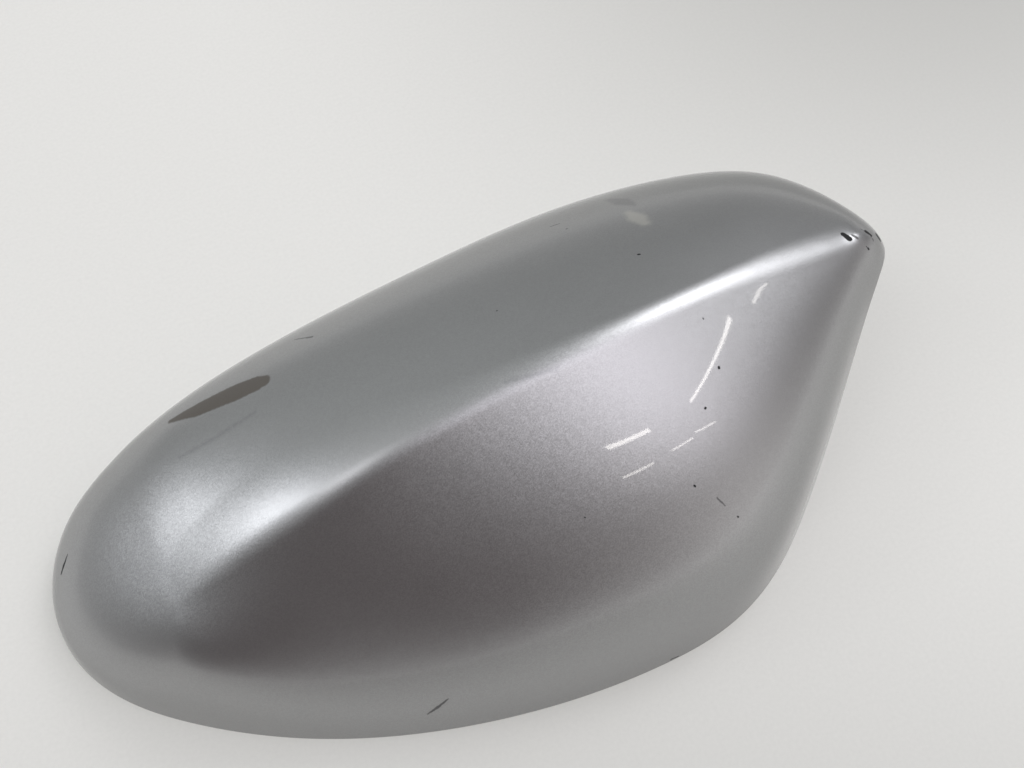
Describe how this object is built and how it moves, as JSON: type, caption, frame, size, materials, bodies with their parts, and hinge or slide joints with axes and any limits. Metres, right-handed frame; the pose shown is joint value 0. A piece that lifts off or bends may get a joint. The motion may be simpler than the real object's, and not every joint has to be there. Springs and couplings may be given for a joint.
{
  "type": "mirror cover",
  "caption": "Painted plastic shell that snaps over the back of a car's door mirror, with a soft crease, a raised inboard arch and snap hooks moulded inside.",
  "frame": {"origin": "centre of the bounding box on the plane of the rim, which is the surface that the cover lies on", "axes": "+X from the rounded outboard end to the pointed inboard tip, +Y to the top edge of the mirror, +Z out of the rim to the crease"},
  "size_m": [0.2386, 0.1334, 0.0626],
  "materials": {
    "silver_paint": "silver metallic paint under clear lacquer, with scuffs and chips, on a plastic moulding"
  },
  "bodies": {
    "root": {"mirror_cover": "silver_paint"}
  },
  "joints": []
}
